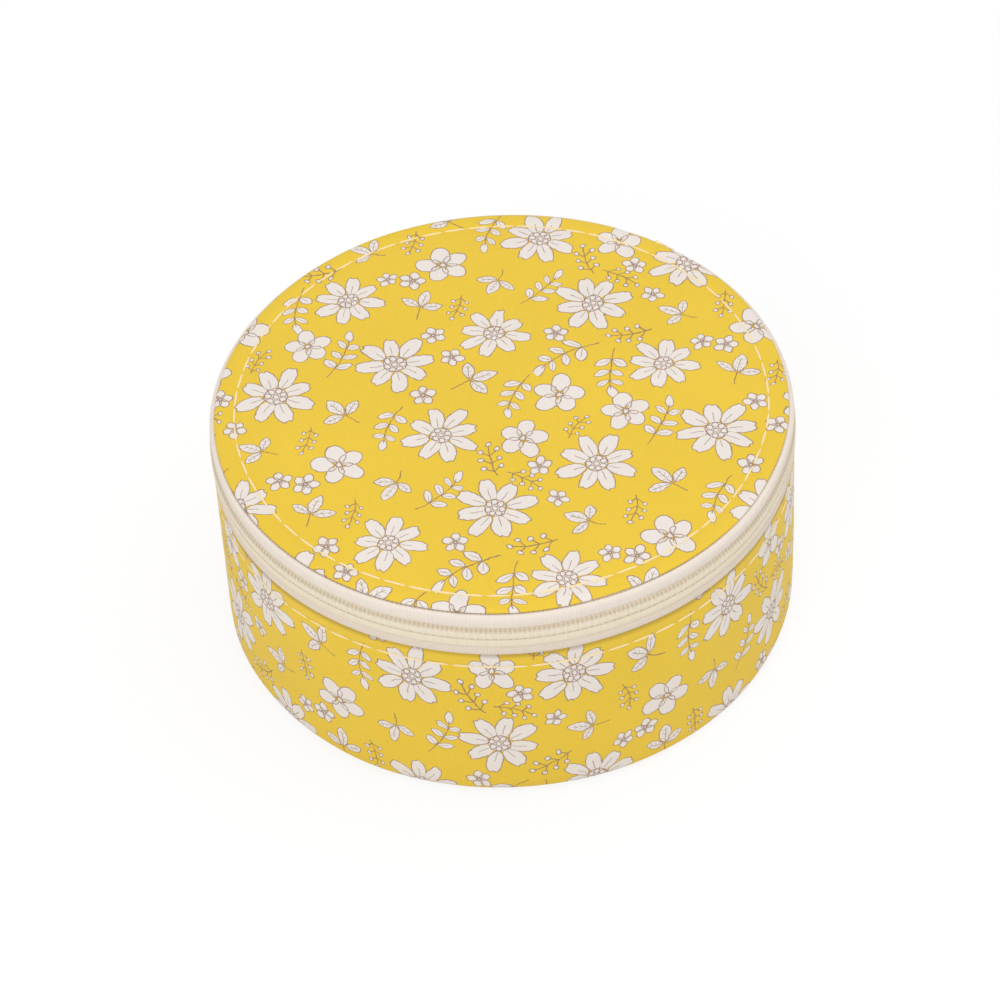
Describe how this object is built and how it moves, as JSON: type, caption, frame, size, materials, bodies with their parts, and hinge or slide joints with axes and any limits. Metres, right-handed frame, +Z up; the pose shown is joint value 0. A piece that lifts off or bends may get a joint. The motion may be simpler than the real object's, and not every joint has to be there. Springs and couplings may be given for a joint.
{
  "type": "round jewelry box",
  "caption": "Round cloth-covered box with a zip round its side, a hinged lid with a mirror, and a lined inside with ring rolls and compartments.",
  "frame": {"origin": "centre of the underside, on the surface that the box stands on", "axes": "+Z up, front towards -Y, lid hinge at the back towards +Y"},
  "size_m": [0.12, 0.12, 0.052],
  "materials": {
    "print_cloth": "yellow cotton with a white flower print",
    "lining_cloth": "cream brushed lining",
    "card": "grey board",
    "wadding": "white wadding",
    "zip_tape": "cream woven tape",
    "zip_coil": "cream nylon",
    "slider_metal": "pale gold plate",
    "mirror_glass": "polished"
  },
  "bodies": {
    "base": {"base_board": "card", "bottom_cover": "print_cloth", "wall_board": "card", "side_wadding": "wadding", "side_cover": "print_cloth", "wall_lining": "lining_cloth", "floor_pad": "wadding", "floor_lining": "lining_cloth", "divider_long": "lining_cloth", "divider_short": "lining_cloth", "ring_roll_1": "lining_cloth", "ring_roll_2": "lining_cloth", "ring_roll_3": "lining_cloth", "ring_roll_4": "lining_cloth", "lower_tape": "zip_tape", "lower_coil": "zip_coil", "hinge_cloth": "print_cloth"},
    "lid": {"lid_cover": "print_cloth", "lid_pad": "wadding", "lid_board": "card", "lid_lining": "lining_cloth", "mirror": "mirror_glass", "mirror_frame": "lining_cloth", "upper_tape": "zip_tape", "upper_coil": "zip_coil"},
    "slider": {"slider_body": "slider_metal", "slider_bridge": "slider_metal"},
    "pull": {"pull_tab": "slider_metal"}
  },
  "joints": [
    {"name": "lid_hinge", "type": "hinge", "parent": "base", "child": "lid", "pos_m": [0, 0.0603, 0.0452], "axis": [-1, 0, 0], "range_deg": [0, 180], "deforming": ["hinge_cloth"]},
    {"name": "slider_travel", "type": "hinge", "parent": "base", "child": "slider", "pos_m": [0, 0, 0.0452], "axis": [0, 0, -1], "range_deg": [0, 292], "deforming": ["lower_coil", "upper_coil"]},
    {"name": "pull_swing", "type": "hinge", "parent": "slider", "child": "pull", "pos_m": [0.03497, 0.05184, 0.0452], "axis": [0, 0, 1], "range_deg": [0, 180]}
  ]
}
